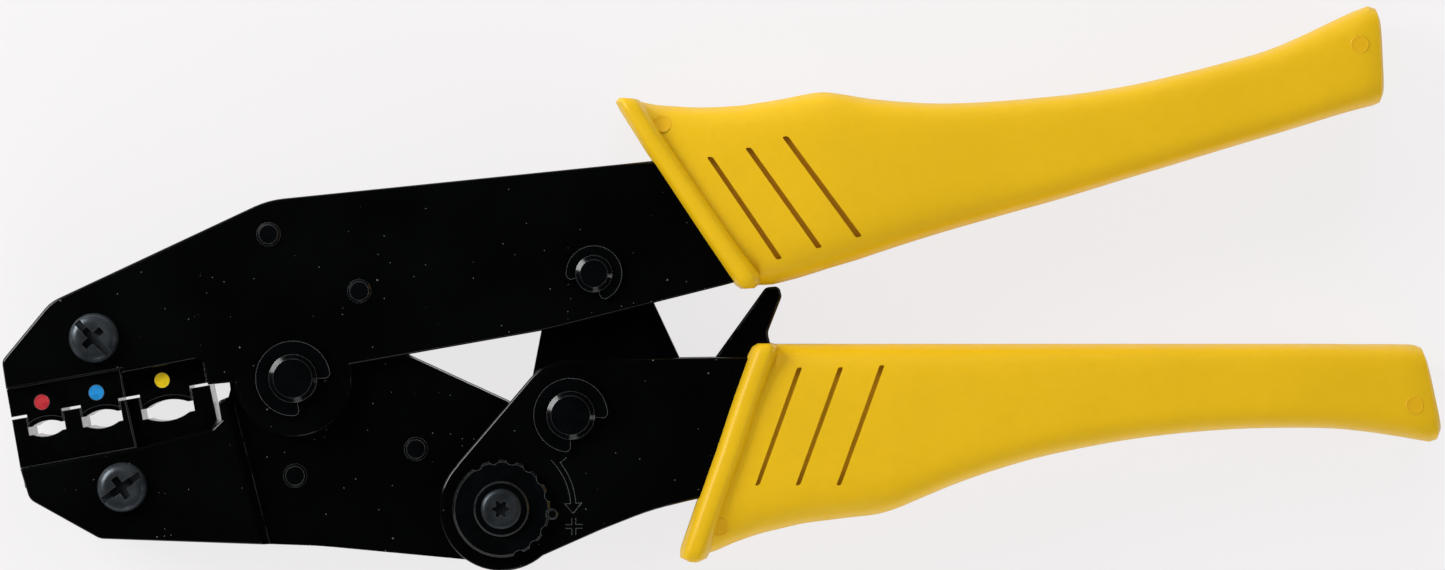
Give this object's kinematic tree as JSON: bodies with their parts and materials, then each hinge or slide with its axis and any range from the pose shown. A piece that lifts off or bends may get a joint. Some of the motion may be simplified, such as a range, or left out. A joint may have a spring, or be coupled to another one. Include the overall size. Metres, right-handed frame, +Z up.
{
  "type": "ratchet crimping tool",
  "caption": "Hand plier that crimps insulated cable terminals between two nested dies, closed by a toggle linkage with a ratchet and an adjusting wheel.",
  "frame": {"origin": "under the middle of the object's box, on the surface it lies on", "axes": "+X from the nose to the grips, +Y from the moving handle to the fixed grip, +Z up through the thickness"},
  "size_m": [0.2208, 0.087, 0.021],
  "materials": {
    "black_plate": "gloss black finish on steel plate",
    "die_steel": "blackened hardened steel",
    "black_ring": "blackened spring steel",
    "blackened_pin": "blackened turned steel",
    "screw_steel": "blue-black oxide",
    "yellow_grip": "satin moulded plastic",
    "red_paint": "enamel paint",
    "blue_paint": "enamel paint",
    "yellow_paint": "enamel paint",
    "spring_steel": "oiled spring wire",
    "plain_steel": "plain steel"
  },
  "bodies": {
    "frame": {"frame_plate_front": "black_plate", "frame_plate_back": "black_plate", "frame_spacer": "plain_steel", "frame_tail_spacer": "plain_steel", "frame_rivets": "blackened_pin", "frame_tail_rivets": "blackened_pin", "upper_die": "die_steel", "red_mark": "red_paint", "blue_mark": "blue_paint", "yellow_mark": "yellow_paint", "upper_die_screw": "screw_steel", "main_pivot_pin": "blackened_pin", "main_pivot_rings": "black_ring", "link_pin": "blackened_pin", "link_pin_rings": "black_ring", "pivot_bush": "plain_steel", "opening_spring": "spring_steel", "fixed_grip": "yellow_grip"},
    "lower_jaw": {"jaw_plate_front": "black_plate", "jaw_plate_back": "black_plate", "jaw_spacer": "plain_steel", "jaw_rivets": "blackened_pin", "lower_die": "die_steel", "lower_die_screw": "screw_steel"},
    "moving_handle": {"handle_plate_front": "black_plate", "handle_plate_back": "black_plate", "handle_spacer": "plain_steel", "handle_rivets": "blackened_pin", "knee_pin": "blackened_pin", "knee_pin_rings": "black_ring", "adjusting_pin": "blackened_pin", "adjusting_wheel": "blackened_pin", "adjuster_collar": "blackened_pin", "adjuster_screw": "blackened_pin", "lock_pin": "blackened_pin", "pawl_pin": "blackened_pin", "pawl_spring": "spring_steel", "spring_post": "plain_steel", "moving_grip": "yellow_grip"},
    "toggle": {"toggle_link": "black_plate"},
    "pawl": {"ratchet_pawl": "black_plate"}
  },
  "joints": [
    {"name": "jaw_pivot", "type": "hinge", "parent": "frame", "child": "lower_jaw", "pos_m": [-0.06573, -0.01394, 0.0105], "axis": [0, 0, 1], "range_deg": [-0.5, 10.4]},
    {"name": "handle_pivot", "type": "hinge", "parent": "lower_jaw", "child": "moving_handle", "pos_m": [-0.03378, -0.03389, 0.0105], "axis": [0, 0, 1], "range_deg": [-36, 1.5]},
    {"name": "link_pivot", "type": "hinge", "parent": "frame", "child": "toggle", "pos_m": [-0.01962, 0.00212, 0.0105], "axis": [0, 0, 1], "range_deg": [-1, 22.4]},
    {"name": "pawl_pivot", "type": "hinge", "parent": "moving_handle", "child": "pawl", "pos_m": [0.00572, -0.01799, 0.0105], "axis": [0, 0, 1], "range_deg": [-12, 0], "stiffness_Nm_per_rad": 0.05}
  ],
  "couplings": [
    {"joint": "jaw_pivot", "follows": "handle_pivot", "ratio": -0.282},
    {"joint": "link_pivot", "follows": "handle_pivot", "ratio": -0.615}
  ]
}
